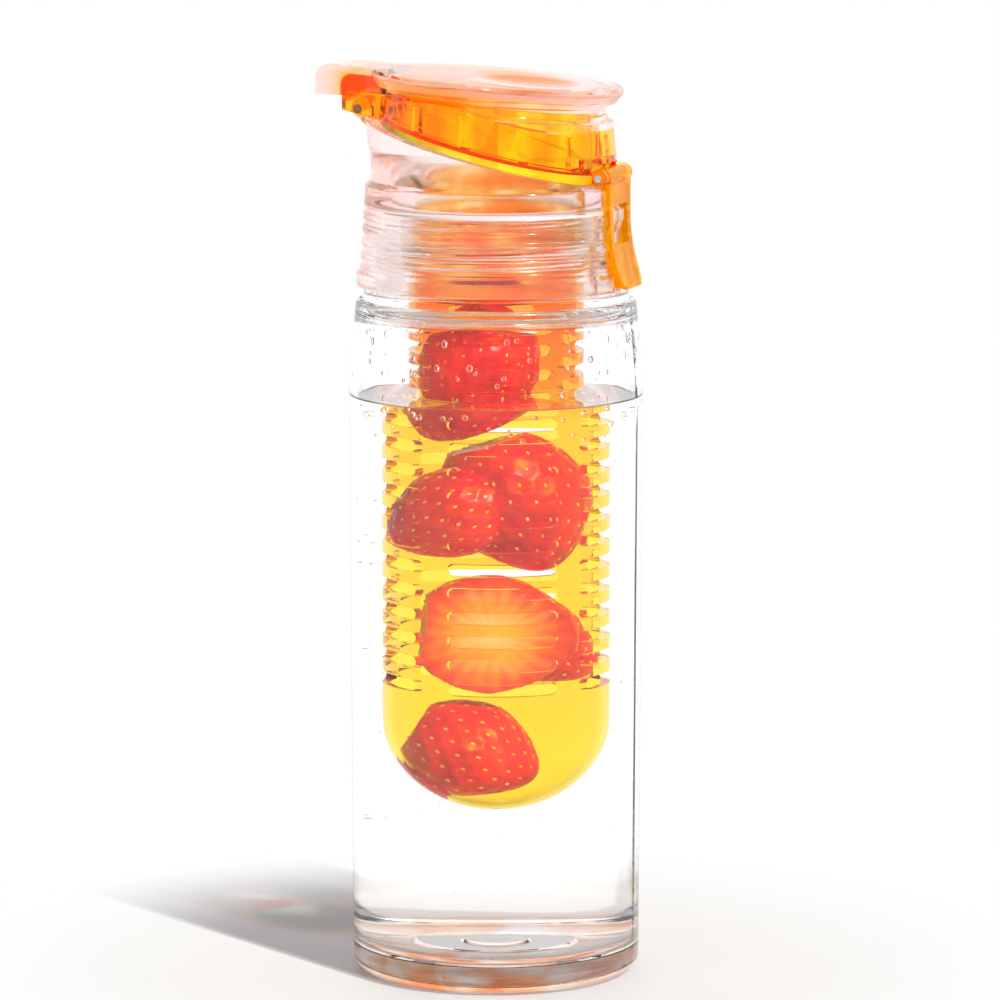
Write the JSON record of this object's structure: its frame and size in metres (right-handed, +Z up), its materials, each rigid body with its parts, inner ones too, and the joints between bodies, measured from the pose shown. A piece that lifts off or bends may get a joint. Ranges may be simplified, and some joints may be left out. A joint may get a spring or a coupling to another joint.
{
  "type": "fruit infuser water bottle",
  "caption": "Clear water bottle with a slotted fruit basket hung from its screw collar, a funnel spout and a flip lid held shut by a snap clasp.",
  "frame": {"origin": "centre of the bottle's flat underside, on its axis", "axes": "+Z up along the bottle's axis, -X towards the lid's hinge and nose, +X towards the clasp; XZ is the mirror plane of the lid"},
  "size_m": [0.0823, 0.073, 0.2271],
  "materials": {
    "clear_body": "clear, polished",
    "clear_collar": "clear, polished",
    "clear_cover": "clear, polished",
    "orange_basket": "translucent orange, polished",
    "orange_lid": "translucent orange, polished",
    "orange_clasp": "translucent orange, polished",
    "silicone": "pale silicone",
    "pin_steel": "ground pin"
  },
  "bodies": {
    "bottle": {"bottle_body": "clear_body"},
    "neck_gasket": {"collar_gasket": "silicone"},
    "collar": {"collar": "clear_collar", "lid_hinge_pin": "pin_steel"},
    "basket_seal": {"infuser_seal": "silicone"},
    "infuser": {"infuser_basket": "orange_basket"},
    "lid": {"lid_shell": "orange_lid", "lid_cover": "clear_cover", "lid_gasket": "silicone", "clasp_pin": "pin_steel"},
    "clasp": {"clasp": "orange_clasp"}
  },
  "joints": [
    {"name": "collar_lift", "type": "slide", "parent": "bottle", "child": "neck_gasket", "axis": [0, 0, 1], "range_m": [0, 0.006]},
    {"name": "collar_turn", "type": "hinge", "parent": "neck_gasket", "child": "collar", "pos_m": [0, 0, 0.1921], "axis": [0, 0, 1], "range_deg": [0, 540]},
    {"name": "infuser_drop", "type": "slide", "parent": "collar", "child": "basket_seal", "axis": [0, 0, -1], "range_m": [0, 0.005]},
    {"name": "infuser_turn", "type": "hinge", "parent": "basket_seal", "child": "infuser", "pos_m": [0, 0, 0.1808], "axis": [0, 0, -1], "range_deg": [0, 450]},
    {"name": "lid_open", "type": "hinge", "parent": "collar", "child": "lid", "pos_m": [-0.0334, 0, 0.216], "axis": [0, -1, 0], "range_deg": [0, 95]},
    {"name": "clasp_swing", "type": "hinge", "parent": "lid", "child": "clasp", "pos_m": [0.0293, 0, 0.2004], "axis": [0, -1, 0], "range_deg": [0, 100]}
  ],
  "couplings": [
    {"joint": "collar_lift", "follows": "collar_turn", "m_per_rad": 0.00063662},
    {"joint": "infuser_drop", "follows": "infuser_turn", "m_per_rad": 0.00063662}
  ]
}
